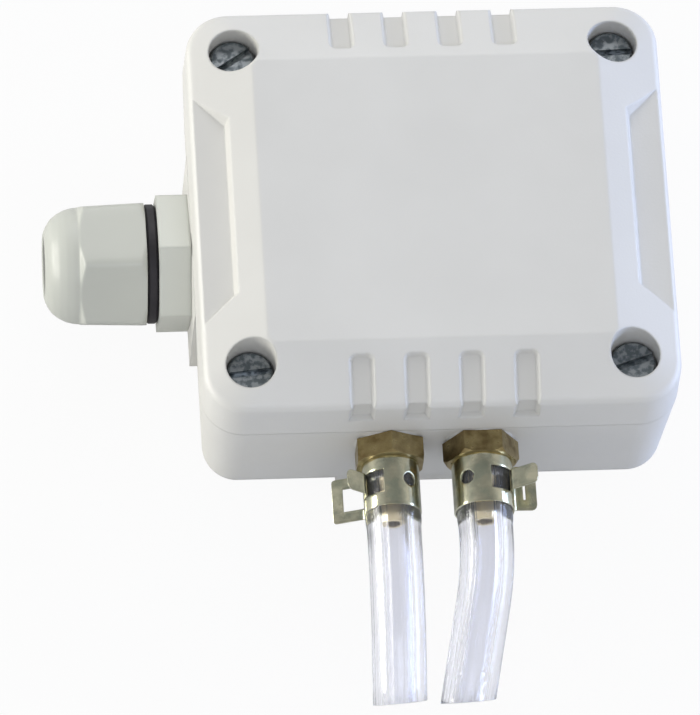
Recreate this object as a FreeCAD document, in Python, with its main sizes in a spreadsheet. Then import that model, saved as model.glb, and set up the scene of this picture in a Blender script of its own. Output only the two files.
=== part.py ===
"""Air flow sensor in a small wall housing with a cable gland and two hose nipples.

The back (wall) face lies in the plane z = 0 with its centre at the origin. +Z is the
outward side of the cover, the cable gland is on the -X wall and the hoses leave the
-Y wall. All sizes are in millimetres.
"""
import FreeCAD, Part
import math
import os
import re
import Sketcher

os.makedirs("parts", exist_ok=True)
doc = FreeCAD.newDocument("air_flow_sensor")
sheet = doc.addObject("Spreadsheet::Sheet", "size")
V = FreeCAD.Vector

VALUES = {
    # housing
    "box_wide": 72.6,
    "box_deep": 66.8,
    "box_high": 35.5,
    "base_high": 23.3,
    "corner_round": 6.5,
    "back_round": 5.0,
    "base_taper": 1.4,
    "rim_taper": 0.15,
    "wall": 2.5,
    "floor_thick": 2.5,
    # bevelled front of the cover
    "bevel_wide": 9.8,
    "bevel_high": 3.7,
    "edge_round": 1.4,
    "plateau_round": 0.9,
    "cover_thick": 2.3,
    # grip recesses in the two side bevels
    "grip_edge": 0.6,
    "grip_wide": 4.75,
    "grip_outer_long": 37.8,
    "grip_inner_long": 28.3,
    "grip_rise": 0.2,
    "grip_draft": 0.45,
    # grooves over the top and bottom edges
    "groove_pitch": 8.3,
    "groove_wide": 3.8,
    "groove_floor_wide": 2.7,
    "groove_deep": 0.9,
    "groove_corner": 1.1,
    "groove_inset": 2.1,
    "groove_drop": 3.2,
    # cover screws and their corner posts
    "screw_edge": 7.3,
    "post_half": 4.5,
    "recess_bore": 7.6,
    "screw_head": 7.0,
    "screw_head_high": 2.4,
    "screw_sunk": 5.6,
    "screw_shank": 4.0,
    "screw_long": 17.0,
    "slot_wide": 1.0,
    "slot_deep": 1.1,
    "thread_gap": 0.05,
    "shank_hole": 4.6,
    # rim seal
    "seal_edge": 0.65,
    "seal_wide": 1.2,
    "seal_high": 1.2,
    # cable gland
    "gland_up": 13.5,
    "gland_thread": 16.0,
    "gland_flats": 19.0,
    "gland_hex_long": 4.9,
    "gland_ring_wide": 18.3,
    "gland_ring_long": 1.8,
    "gland_nut_long": 15.4,
    "gland_flat_long": 9.9,
    "gland_nut_taper": 0.35,
    "gland_end_wide": 10.6,
    "gland_cable": 9.4,
    "gland_bore": 12.4,
    "gland_seal_bore": 6.4,
    "gland_inside": 5.6,
    "gland_pad_long": 27.0,
    "gland_pad_proud": 0.1,
    "gland_pad_deep": 1.9,
    "gland_boss_wide": 22.0,
    "gland_boss_thick": 2.9,
    # hose nipples
    "nipple_spacing": 13.9,
    "nipple_shift": 0.8,
    "nipple_up": 18.2,
    "nipple_proud": 0.1,
    "nipple_seat_deep": 1.5,
    "nipple_seat_wide": 10.2,
    "nipple_thread": 8.0,
    "nipple_flats": 10.0,
    "nipple_hex_long": 3.4,
    "nipple_bore": 2.3,
    "nipple_tip": 3.2,
    "nipple_barb": 4.2,
    "nipple_root": 3.4,
    "nipple_reach": 9.9,
    "nipple_wall": 3.5,
    "nipple_boss_wide": 28.0,
    "nipple_nut_flats": 10.0,
    "nipple_nut_thick": 3.2,
    # hoses and their clamps
    "hose_wide": 8.2,
    "hose_bore": 3.5,
    "hose_swell": 0.08,
    "hose_straight": 12.0,
    "hose_left_bend": 40.0,
    "hose_right_bend": 25.0,
    "hose_left_end": 8.2,
    "hose_right_end": 14.3,
    "hose_left_turn": 24.3,
    "hose_right_turn": 24.6,
    "hose_left_roll": 1.0,
    "hose_right_roll": 26.0,
    "clamp_bore": 8.4,
    "clamp_strip": 0.28,
    "clamp_long": 8.0,
    "clamp_hole": 2.2,
    "clamp_hole_left_at": 36.0,
    "clamp_hole_right_at": -36.0,
    "clamp_window": 3.6,
    "clamp_window_left_at": -44.0,
    "clamp_window_right_at": 37.0,
    "lug_thick": 0.9,
    "tongue_wide": 3.3,
    "tongue_left_long": 3.3,
    "tongue_left_at": 64.0,
    "tongue_right_long": 4.8,
    "tongue_right_at": 59.0,
    "frame_left_long": 5.3,
    "frame_left_at": 116.0,
    "frame_right_long": 3.8,
    "frame_right_at": 98.0,
    "frame_lug_wide": 7.2,
    "frame_lug_edge": 1.7,
    "frame_lug_hole": 3.7,
    "lug_window_left": 3.2,
    "lug_window_right": 0.35,
    # circuit board and what is on it
    "board_wide": 46.5,
    "board_deep": 40.0,
    "board_thick": 1.6,
    "board_up": 6.5,
    "board_screw_side": 2.25,
    "board_screw_end": 2.0,
    "board_shank": 2.5,
    "board_head": 4.6,
    "board_head_high": 1.7,
    "standoff": 5.0,
    "sensor_wide": 24.0,
    "sensor_deep": 15.0,
    "sensor_front": 13.0,
    "sensor_high": 13.2,
    "port_wide": 3.8,
    "port_bore": 2.0,
    "port_long": 4.2,
    "inner_tube_wide": 6.4,
    "inner_tube_bore": 4.1,
    "inner_tube_long": 11.5,
    "terminal_pitch": 3.5,
    "terminal_wide": 8.0,
    "terminal_high": 8.5,
    "terminal_edge": 0.75,
    "terminal_head": 2.6,
    "terminal_screw_long": 3.4,
    "terminal_cage": 2.6,
    "trimmer_x": 14.5,
    "trimmer_y": 10.5,
    "trimmer_side": 6.6,
    "trimmer_high": 3.8,
    "rotor_wide": 3.4,
    "rotor_high": 1.1,
    "rotor_slot": 0.6,
    "chip_x": 2.5,
    "chip_y": 12.0,
    "chip_side": 7.0,
    "chip_high": 1.1,
    "regulator_x": -9.3,
    "regulator_y": 8.0,
    "regulator_wide": 6.2,
    "regulator_long": 7.4,
    "regulator_lump": 5.6,
    "regulator_high": 2.4,
    "can_x": -17.2,
    "can_y": 12.3,
    "can_wide": 5.0,
    "can_high": 5.6,
    "led_x": 16.6,
    "led_y": -13.2,
    "led_long": 3.2,
    "led_wide": 1.6,
    "led_high": 1.1,
    "resistor_x": 14.1,
    "resistor_y": 1.6,
    "resistor_pitch": 2.4,
    "resistor_wide": 1.4,
    "resistor_long": 2.2,
    "resistor_high": 0.7,
    "pin_x": 16.46,
    "pin_y": -6.18,
    "pin_pitch": 2.54,
    "pin_side": 0.64,
    "pin_high": 6.0,
    # wall screw holes in the back
    "wall_hole": 4.3,
    "wall_hole_x": 28.6,
    "wall_hole_y": 13.0,
}

for row, (name, number) in enumerate(VALUES.items(), 1):
    sheet.set(f"A{row}", name)
    sheet.set(f"B{row}", str(number))
    sheet.setAlias(f"B{row}", name)
doc.recompute()

nodes = []


def formula(text):
    """A formula over the named values, written so that an expression can read it."""
    return re.sub(
        r"[a-z][a-z0-9_]*",
        lambda found: "size." + found.group() if found.group() in VALUES else found.group(),
        str(text),
    )


known = {}


def number(text):
    """The number that a formula over the named values gives."""
    if text not in known:
        sheet.set("D1", f"={text}")
        sheet.recompute()
        known[text] = float(sheet.get("D1"))
    return known[text]


def place(thing, x=0, y=0, z=0, turn=None):
    """Put a thing at a point given by formulas, with a rotation."""
    thing.Placement = FreeCAD.Placement(V(0, 0, 0), turn or FreeCAD.Rotation())
    for axis, text in zip("xyz", (x, y, z)):
        thing.setExpression(f"Placement.Base.{axis}", formula(text))
    return thing


def node(thing, label):
    """Name a finished sub-part."""
    thing.Label = label
    nodes.append(thing)
    return thing


def drive(thing, **sizes):
    """Tie properties of a thing to formulas."""
    for prop, text in sizes.items():
        thing.setExpression(prop, formula(text))
    return thing


# Part primitives


def box(sx, sy, sz, x, y, z, turn=None):
    """A box with its low corner at a point."""
    thing = doc.addObject("Part::Box", "Block")
    drive(thing, Length=sx, Width=sy, Height=sz)
    return place(thing, x, y, z, turn)


ALONG = {
    "+z": FreeCAD.Rotation(),
    "-z": FreeCAD.Rotation(V(1, 0, 0), 180),
    "-y": FreeCAD.Rotation(V(1, 0, 0), 90),
    "-x": FreeCAD.Rotation(V(0, 1, 0), -90),
}


def cylinder(radius, high, x, y, z, along="+z"):
    """A cylinder that starts at a point and runs along an axis."""
    thing = doc.addObject("Part::Cylinder", "Rod")
    drive(thing, Radius=radius, Height=high)
    return place(thing, x, y, z, ALONG[along])


def joined(things):
    """Several solids made into one."""
    whole = doc.addObject("Part::MultiFuse", "Whole")
    whole.Shapes = things
    return whole


def cut(thing, tools):
    """A solid with others taken out of it."""
    result = doc.addObject("Part::Cut", "Trimmed")
    result.Base = thing
    result.Tool = tools[0] if len(tools) == 1 else joined(tools)
    return result


def together(things):
    """Several separate solids in one node."""
    group = doc.addObject("Part::Compound", "Group")
    group.Links = things
    return group


# Bodies, sketches and features


def new_body(x=0, y=0, z=0, turn=None):
    return place(doc.addObject("PartDesign::Body", "Body"), x, y, z, turn)


def new_sketch(body, role, up=0):
    """A sketch on one of the body's origin planes, moved along its normal."""
    sketch = body.newObject("Sketcher::SketchObject", "Outline")
    flat = next(f for f in body.Origin.OriginFeatures if f.Role == role)
    sketch.AttachmentSupport = (flat, [""])
    sketch.MapMode = "FlatFace"
    sketch.setExpression("AttachmentOffset.Base.z", formula(up))
    return sketch


def tie(sketch, kind, *details, size):
    """Add a constraint whose value is a formula."""
    index = sketch.addConstraint(Sketcher.Constraint(kind, *details, number(size)))
    sketch.setExpression(f"Constraints[{index}]", formula(size))


def polygon(sketch, points):
    """A closed outline through points given as formulas."""
    first = sketch.GeometryCount
    spots = [V(number(x), number(y), 0) for x, y in points]
    count = len(points)
    for i in range(count):
        sketch.addGeometry(Part.LineSegment(spots[i], spots[(i + 1) % count]), False)
    for i in range(count):
        after = first + (i + 1) % count
        sketch.addConstraint(Sketcher.Constraint("Coincident", first + i, 2, after, 1))
    for i, (x, y) in enumerate(points):
        for kind, text in (("DistanceX", x), ("DistanceY", y)):
            held = Sketcher.Constraint(kind, -1, 1, first + i, 1, number(text))
            index = sketch.addConstraint(held)
            sketch.setExpression(f"Constraints[{index}]", formula(text))
    return sketch


def rounded(sketch, wide, deep, radius):
    """A centred rectangle with round corners."""
    w, d, r = number(wide) / 2, number(deep) / 2, number(radius)
    quarter = math.pi / 2

    def corner(x, y, start):
        return Part.ArcOfCircle(Part.Circle(V(x, y, 0), V(0, 0, 1), r), start, start + quarter)

    first = sketch.GeometryCount
    sketch.addGeometry(
        [
            Part.LineSegment(V(r - w, -d, 0), V(w - r, -d, 0)),
            corner(w - r, r - d, -quarter),
            Part.LineSegment(V(w, r - d, 0), V(w, d - r, 0)),
            corner(w - r, d - r, 0),
            Part.LineSegment(V(w - r, d, 0), V(r - w, d, 0)),
            corner(r - w, d - r, quarter),
            Part.LineSegment(V(-w, d - r, 0), V(-w, r - d, 0)),
            corner(r - w, r - d, 2 * quarter),
        ],
        False,
    )
    for i in range(8):
        after = first + (i + 1) % 8
        sketch.addConstraint(Sketcher.Constraint("Tangent", first + i, 2, after, 1))
    for i, kind in ((0, "Horizontal"), (4, "Horizontal"), (2, "Vertical"), (6, "Vertical")):
        sketch.addConstraint(Sketcher.Constraint(kind, first + i))
    for i in (3, 5, 7):
        sketch.addConstraint(Sketcher.Constraint("Equal", first + 1, first + i))
    centred = Sketcher.Constraint("Symmetric", first, 1, first + 4, 1, -1, 1)
    sketch.addConstraint(centred)
    tie(sketch, "DistanceX", first + 6, 1, first + 2, 1, size=wide)
    tie(sketch, "DistanceY", first, 1, first + 4, 1, size=deep)
    tie(sketch, "Radius", first + 1, size=radius)
    return sketch


def circle(sketch, x, y, radius):
    """A circle at a point given by formulas."""
    spot = V(number(x), number(y), 0)
    index = sketch.addGeometry(Part.Circle(spot, V(0, 0, 1), number(radius)), False)
    tie(sketch, "Radius", index, size=radius)
    for kind, text in (("DistanceX", x), ("DistanceY", y)):
        held = Sketcher.Constraint(kind, -1, 1, index, 3, number(text))
        at = sketch.addConstraint(held)
        sketch.setExpression(f"Constraints[{at}]", formula(text))
    return sketch


def feature(body, kind, sketch, **more):
    """A feature made from a sketch."""
    made = body.newObject("PartDesign::" + kind, kind)
    made.Profile = sketch
    for name, value in more.items():
        setattr(made, name, value)
    return made


def grow(body, kind, sketch, long, reverse=False, midplane=False):
    """A pad or a pocket of a length given by a formula."""
    made = feature(body, kind, sketch, Reversed=reverse, Midplane=midplane)
    return drive(made, Length=long)


def loft(body, kind, low, high):
    made = feature(body, kind, low, Ruled=True)
    made.Sections = [high]
    return made


def turned(body, kind, points):
    """A solid of revolution, added or taken away, from points (radius, height)."""
    sketch = polygon(new_sketch(body, "XZ_Plane"), points)
    return feature(body, kind, sketch, ReferenceAxis=(sketch, ["V_Axis"]), Angle=360)


def hexagon(flats, turn):
    """The corners of a hexagon of a width across flats, its first one at an angle."""
    reach = f"({flats})/2/cos(30)"
    angles = [turn + 60 * i for i in range(6)]
    return [(f"{reach}*cos({a})", f"{reach}*sin({a})") for a in angles]


def flat_edges(shape, height):
    """The names of the edges that lie at one height."""
    return [
        f"Edge{i}"
        for i, edge in enumerate(shape.Edges, 1)
        if abs(edge.BoundBox.ZMin - height) < 1e-4 and abs(edge.BoundBox.ZMax - height) < 1e-4
    ]


def fillet(body, base, edges, radius):
    made = body.newObject("PartDesign::Fillet", "Fillet")
    made.Base = (base, edges)
    return drive(made, Radius=radius)


# Places that several parts share
SCREW_X = "(box_wide/2-screw_edge)"
SCREW_Y = "(box_deep/2-screw_edge)"
CORNERS = [(-1, 1), (1, 1), (-1, -1), (1, -1)]
HEAD_TOP = "(box_high-screw_sunk)"
SEAT = "(box_deep/2+nipple_proud)"
INNER_FACE = "(box_deep/2-nipple_wall)"
BOARD_X = "(board_wide/2-board_screw_side)"
BOARD_Y = "(board_deep/2-board_screw_end)"
BOARD_TOP = "board_up+board_thick"
NIPPLE_X = {
    "left": "(-nipple_shift-nipple_spacing/2)",
    "right": "(-nipple_shift+nipple_spacing/2)",
}


def notched(sketch, half_wide, half_deep):
    """The hollow's outline: a rectangle that leaves the four corner posts standing."""
    a, b = half_wide, half_deep
    x, y = f"({SCREW_X}-post_half)", f"({SCREW_Y}-post_half)"
    quarter = [(a, f"-{y}"), (a, y), (x, y), (x, b)]
    half = quarter + [(f"-{x}", b), (f"-{x}", y)]
    rest = [(f"-({a})", y), (f"-({a})", f"-{y}"), (f"-{x}", f"-{y}")]
    last = [(f"-{x}", f"-({b})"), (x, f"-({b})"), (x, f"-{y}")]
    return polygon(sketch, half + rest + last)


def rectangle(sketch, low_x, high_x, low_y, high_y):
    corners = [(low_x, low_y), (high_x, low_y), (high_x, high_y), (low_x, high_y)]
    return polygon(sketch, corners)


# Base of the housing


def make_base():
    body = new_body()
    low = new_sketch(body, "XY_Plane")
    round_low = "corner_round-base_taper"
    rounded(low, "box_wide-2*base_taper", "box_deep-2*base_taper", round_low)
    high = rounded(new_sketch(body, "XY_Plane", "base_high"), "box_wide", "box_deep", "corner_round")
    outside = loft(body, "AdditiveLoft", high, low)
    doc.recompute()
    fillet(body, outside, flat_edges(outside.Shape, 0), "back_round")
    # flat pad for the gland and flat seats for the nipples
    face = new_sketch(body, "YZ_Plane", "-box_wide/2-gland_pad_proud")
    rectangle(face, "-gland_pad_long/2", "gland_pad_long/2", "back_round", "base_high")
    grow(body, "Pad", face, "gland_pad_deep")
    for x in NIPPLE_X.values():
        seat = new_sketch(body, "XZ_Plane", SEAT)
        circle(seat, x, "nipple_up", "nipple_seat_wide/2")
        grow(body, "Pad", seat, "nipple_seat_deep", reverse=True)
    # hollow
    inner = "box_wide/2-wall"
    shrink = "base_taper*(base_high-floor_thick)/base_high"
    low = new_sketch(body, "XY_Plane", "floor_thick")
    notched(low, f"{inner}-{shrink}", f"box_deep/2-wall-{shrink}")
    high = notched(new_sketch(body, "XY_Plane", "base_high"), inner, "box_deep/2-wall")
    loft(body, "SubtractiveLoft", low, high)
    # thicker wall behind the gland and behind the nipples
    face = new_sketch(body, "YZ_Plane", "-box_wide/2+wall+gland_boss_thick")
    rectangle(face, "-gland_boss_wide/2", "gland_boss_wide/2", "floor_thick/2", "base_high")
    grow(body, "Pad", face, "gland_boss_thick+1", reverse=True)
    face = new_sketch(body, "XZ_Plane", INNER_FACE)
    middle = "-nipple_shift"
    half = "nipple_boss_wide/2"
    rectangle(face, f"{middle}-{half}", f"{middle}+{half}", "floor_thick/2", "base_high")
    grow(body, "Pad", face, "nipple_wall-1.5")
    # standoffs under the circuit board
    for sx, sy in CORNERS:
        foot = new_sketch(body, "XY_Plane", "floor_thick/2")
        circle(foot, f"{sx}*{BOARD_X}", f"{sy}*{BOARD_Y}", "standoff/2")
        grow(body, "Pad", foot, "board_up-floor_thick/2")
    # bores: gland, nipples, cover screws, board screws and wall screws
    face = new_sketch(body, "YZ_Plane", "-box_wide/2-1")
    circle(face, 0, "gland_up", "gland_thread/2+thread_gap")
    grow(body, "Pocket", face, "wall+gland_boss_thick+2", reverse=True)
    for x in NIPPLE_X.values():
        face = new_sketch(body, "XZ_Plane", f"{SEAT}+1")
        circle(face, x, "nipple_up", "nipple_thread/2+thread_gap")
        grow(body, "Pocket", face, "nipple_proud+nipple_wall+2")
    for sx, sy in CORNERS:
        top = new_sketch(body, "XY_Plane", "base_high")
        circle(top, f"{sx}*{SCREW_X}", f"{sy}*{SCREW_Y}", "screw_shank/2+thread_gap")
        grow(body, "Pocket", top, f"base_high-{HEAD_TOP}+screw_head_high+screw_long+1.5")
        top = new_sketch(body, "XY_Plane", "board_up")
        circle(top, f"{sx}*{BOARD_X}", f"{sy}*{BOARD_Y}", "board_shank/2+thread_gap")
        grow(body, "Pocket", top, "board_up-floor_thick-0.4")
        top = new_sketch(body, "XY_Plane", "floor_thick+1")
        circle(top, f"{sx}*wall_hole_x", f"{sy}*wall_hole_y", "wall_hole/2")
        grow(body, "Pocket", top, "floor_thick+2")
    return node(body, "base")


# Cover of the housing


def make_cover():
    body = new_body()
    bevel_low = "box_high-bevel_high"
    rim_wide, rim_deep = "box_wide-2*rim_taper", "box_deep-2*rim_taper"
    low = rounded(new_sketch(body, "XY_Plane", "base_high"), "box_wide", "box_deep", "corner_round")
    high = rounded(new_sketch(body, "XY_Plane", bevel_low), rim_wide, rim_deep, "corner_round")
    loft(body, "AdditiveLoft", low, high)
    low = rounded(new_sketch(body, "XY_Plane", bevel_low), rim_wide, rim_deep, "corner_round")
    high = new_sketch(body, "XY_Plane", "box_high")
    rounded(high, "box_wide-2*bevel_wide", "box_deep-2*bevel_wide", "plateau_round+0.5")
    front = loft(body, "AdditiveLoft", low, high)
    doc.recompute()
    edges = flat_edges(front.Shape, number(bevel_low))
    edge = fillet(body, front, edges, "edge_round")
    doc.recompute()
    fillet(body, edge, flat_edges(edge.Shape, number("box_high")), "plateau_round")
    # hollow with corner posts
    inner_wide, inner_deep = "box_wide/2-wall", "box_deep/2-wall"
    shoulder = "box_high-bevel_high-cover_thick"
    low = notched(new_sketch(body, "XY_Plane", "base_high-1"), inner_wide, inner_deep)
    high = notched(new_sketch(body, "XY_Plane", shoulder), inner_wide, inner_deep)
    loft(body, "SubtractiveLoft", low, high)
    low = notched(new_sketch(body, "XY_Plane", shoulder), inner_wide, inner_deep)
    high = new_sketch(body, "XY_Plane", "box_high-cover_thick")
    notched(high, "box_wide/2-bevel_wide-1", "box_deep/2-bevel_wide-1")
    loft(body, "SubtractiveLoft", low, high)
    # grip recesses
    floor = "box_high-bevel_high+grip_rise"
    rise = "bevel_high-grip_rise+1"
    outer = "box_wide/2-grip_edge"
    for side in (-1, 1):
        levels = []
        for up, grown in ((floor, "0"), (f"{floor}+{rise}", f"grip_draft*({rise})/1.5")):
            far = f"{side}*({outer})"
            near = f"{side}*({outer}-grip_wide-{grown})"
            half_far = f"(grip_outer_long/2+{grown})"
            half_near = f"(grip_inner_long/2+{grown})"
            corners = [(far, f"-{half_far}"), (far, half_far), (near, half_near), (near, f"-{half_near}")]
            levels.append(polygon(new_sketch(body, "XY_Plane", up), corners))
        loft(body, "SubtractiveLoft", *levels)
    # screw recesses and holes
    for sx, sy in CORNERS:
        spot = f"{sx}*{SCREW_X}", f"{sy}*{SCREW_Y}"
        top = circle(new_sketch(body, "XY_Plane", "box_high"), *spot, "recess_bore/2")
        grow(body, "Pocket", top, "screw_sunk+screw_head_high")
        top = circle(new_sketch(body, "XY_Plane", "box_high"), *spot, "shank_hole/2")
        grow(body, "Pocket", top, "box_high-base_high+1")
    # groove for the rim seal
    ring = new_sketch(body, "XY_Plane", "base_high")
    rounded(ring, "box_wide-2*seal_edge", "box_deep-2*seal_edge", "corner_round-seal_edge")
    inset = "(seal_edge+seal_wide)"
    rounded(ring, f"box_wide-2*{inset}", f"box_deep-2*{inset}", f"corner_round-{inset}")
    grow(body, "Pocket", ring, "seal_high", reverse=True)
    return node(cut(body, make_grooves()), "cover")


def wedge(low, high, long, deep, extra, leads=("0", "0")):
    """A bar with drafted sides, and with a drafted end where its floor and top lead out."""
    thing = doc.addObject("Part::Wedge", "Wedge")
    top = f"({high}+({high}-{low})*({extra})/({deep}))"
    drive(
        thing,
        Xmin=f"-{low}/2", Xmax=f"{low}/2", X2min=f"-{top}/2", X2max=f"{top}/2",
        Ymin="0", Ymax=f"{deep}+{extra}", Zmin=f"-{leads[0]}", Zmax=long, Z2min=f"-{leads[1]}",
        Z2max=long,
    )
    return thing


def make_grooves():
    """Drafted grooves with rounded inner corners, over the top and bottom edges of the cover."""
    slope = math.degrees(math.atan2(number("bevel_high"), number("bevel_wide-rim_taper")))
    run = "sqrt(bevel_high^2+(bevel_wide-rim_taper)^2)"
    clear = "1"
    start = "(groove_inset+groove_corner)"
    floor_z = f"box_high-{start}*sin({slope})-groove_deep*cos({slope})"
    floor_y = f"(box_deep/2-bevel_wide+{start}*cos({slope})-groove_deep*sin({slope}))"
    half = "(groove_wide/2-groove_corner)"
    draft = "(groove_wide-groove_floor_wide)/2"
    low_round = f"(groove_corner-{draft})"
    high_round = f"(groove_corner+{draft}*{clear}/groove_deep)"
    lie = FreeCAD.Rotation(V(1, 0, 0), 90 + slope)
    tip = FreeCAD.Rotation(V(1, 0, 0), slope)
    hang = FreeCAD.Rotation(V(1, 0, 0), 180)
    tools = []
    for side in (-1, 1):
        around = FreeCAD.Rotation(V(0, 0, 1), 0 if side < 0 else 180)
        for step in (-1.5, -0.5, 0.5, 1.5):
            x = f"{step}*groove_pitch"
            # along the bevel, from the inner corners out past the edge
            bar = wedge("groove_floor_wide", "groove_wide", f"{run}-{start}+0.3", "groove_deep", clear)
            head = wedge(f"2*{half}", f"2*{half}", "0.5", "groove_deep", clear, (low_round, high_round))
            for thing in (bar, head):
                tools.append(place(thing, x, f"{side}*{floor_y}", floor_z, around * lie))
            for way in (-1, 1):
                end = doc.addObject("Part::Cone", "End")
                drive(end, Radius1=low_round, Radius2=high_round, Height=f"groove_deep+{clear}")
                tools.append(place(end, f"{x}+{way}*{half}", f"{side}*{floor_y}", floor_z, around * tip))
            # down the wall
            drop = wedge("groove_floor_wide", "groove_wide", "groove_drop+groove_deep*0.7",
                         "groove_deep", clear)
            tools.append(place(drop, x, f"{side}*(box_deep/2-rim_taper-groove_deep)",
                               "box_high-bevel_high-groove_deep*0.7", around * hang))
    return tools


def make_seal():
    body = new_body()
    sketch = new_sketch(body, "XY_Plane", "base_high")
    rounded(sketch, "box_wide-2*seal_edge", "box_deep-2*seal_edge", "corner_round-seal_edge")
    inset = "(seal_edge+seal_wide)"
    rounded(sketch, f"box_wide-2*{inset}", f"box_deep-2*{inset}", f"corner_round-{inset}")
    grow(body, "Pad", sketch, "seal_high")
    return node(body, "cover_gasket")


def slotted_screw(label, x, y, top, head, head_high, shank, long, wide, deep, turn):
    """A cheese-head screw with a straight slot, its head's top at a height."""
    body = new_body(x, y, f"{top}-{head_high}", FreeCAD.Rotation(V(0, 0, 1), turn))
    edge = "0.35"
    turned(body, "Revolution", [
        ("0", f"-({long})"), (f"({shank})/2-{edge}", f"-({long})"), (f"({shank})/2", f"{edge}-({long})"),
        (f"({shank})/2", "0"), (f"({head})/2", "0"), (f"({head})/2", f"{head_high}-{edge}"),
        (f"({head})/2-{edge}", head_high), ("0", head_high),
    ])
    sketch = new_sketch(body, "XY_Plane", head_high)
    rectangle(sketch, f"-({head})", f"{head}", f"-({wide})/2", f"({wide})/2")
    grow(body, "Pocket", sketch, deep)
    return node(body, label)


# Cable gland


def make_gland():
    start = "-box_wide/2-gland_pad_proud"
    ends = "(gland_hex_long+gland_ring_long)"
    # body: wall thread, hexagon and thread for the dome nut
    body = new_body(start, 0, "gland_up", ALONG["-x"])
    turned(body, "Revolution", [
        ("gland_cable/2", "-gland_inside"), ("gland_thread/2-0.6", "-gland_inside"),
        ("gland_thread/2", "0.6-gland_inside"), ("gland_thread/2", f"{ends}+6"),
        ("gland_thread/2-1", f"{ends}+7.4"), ("gland_bore/2", f"{ends}+7.4"),
        ("gland_bore/2", "gland_hex_long"), ("gland_cable/2", "gland_hex_long"),
    ])
    hexed = polygon(new_sketch(body, "XY_Plane"), hexagon("gland_flats", 48))
    grow(body, "Pad", hexed, "gland_hex_long")
    bore = circle(new_sketch(body, "XY_Plane", "gland_hex_long"), 0, 0, "gland_cable/2")
    grow(body, "Pocket", bore, "gland_hex_long")
    node(body, "gland_body")
    # black ring between the hexagon and the nut
    ring = new_body(start, 0, "gland_up", ALONG["-x"])
    inner, outer = "gland_thread/2+thread_gap", "gland_ring_wide/2"
    turned(ring, "Revolution", [
        (inner, "gland_hex_long"), (f"{outer}-0.4", "gland_hex_long"), (outer, "gland_hex_long+0.4"),
        (outer, f"{ends}-0.4"), (f"{outer}-0.4", ends), (inner, ends),
    ])
    node(ring, "gland_ring")
    # rubber insert that grips the cable
    seal = new_body(start, 0, "gland_up", ALONG["-x"])
    turned(seal, "Revolution", [
        ("gland_seal_bore/2", "gland_hex_long"), ("gland_bore/2-0.05", "gland_hex_long"),
        ("gland_bore/2-0.05", f"{ends}+7.4"), ("gland_bore/2-1.2", f"{ends}+10.4"),
        ("gland_seal_bore/2", f"{ends}+10.4"),
    ])
    node(seal, "gland_seal")
    # dome nut: tapered hexagon with a round dome
    nut = new_body(start, 0, "gland_up", ALONG["-x"])
    low = polygon(new_sketch(nut, "XY_Plane", ends), hexagon("gland_flats-0.3", 36))
    whole = f"{ends}+gland_nut_long"
    high = new_sketch(nut, "XY_Plane", whole)
    polygon(high, hexagon("gland_flats-0.3-2*gland_nut_taper*gland_nut_long/gland_flat_long", 36))
    loft(nut, "AdditiveLoft", low, high)
    far = "gland_flats"
    shoulder = f"{ends}+gland_flat_long"
    curve = [(1.3, -0.8), (-0.5, 0.3), (-0.62, 1.2), (-0.95, 2.3), (-1.5, 3.4), (-2.3, 4.4), (-3.2, 5.0)]
    dome = [(f"gland_flats/2+{out}", f"{shoulder}+{up}") for out, up in curve]
    dome += [("gland_end_wide/2", whole), ("gland_end_wide/2", f"{whole}+1"), (far, f"{whole}+1"),
             (far, f"{shoulder}-0.8")]
    turned(nut, "Groove", dome)
    turned(nut, "Groove", [
        ("gland_flats/2+0.3", f"{ends}-0.5"), (far, f"{ends}-0.5"), (far, f"{ends}+1.2"),
        ("gland_flats/2+1.4", f"{ends}+1.0"), ("gland_flats/2+0.3", ends),
    ])
    turned(nut, "Groove", [
        ("0", f"{ends}-1"), ("gland_thread/2+thread_gap", f"{ends}-1"),
        ("gland_thread/2+thread_gap", f"{ends}+8.2"), ("gland_bore/2-0.4", f"{ends}+11.2"),
        ("gland_cable/2", f"{ends}+12.4"), ("gland_cable/2", f"{whole}-0.4"),
        ("gland_cable/2+0.4", f"{whole}+0.1"), ("0", f"{whole}+0.1"),
    ])
    node(nut, "gland_nut")


# Hose nipples, their nuts, hoses and clamps


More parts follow.
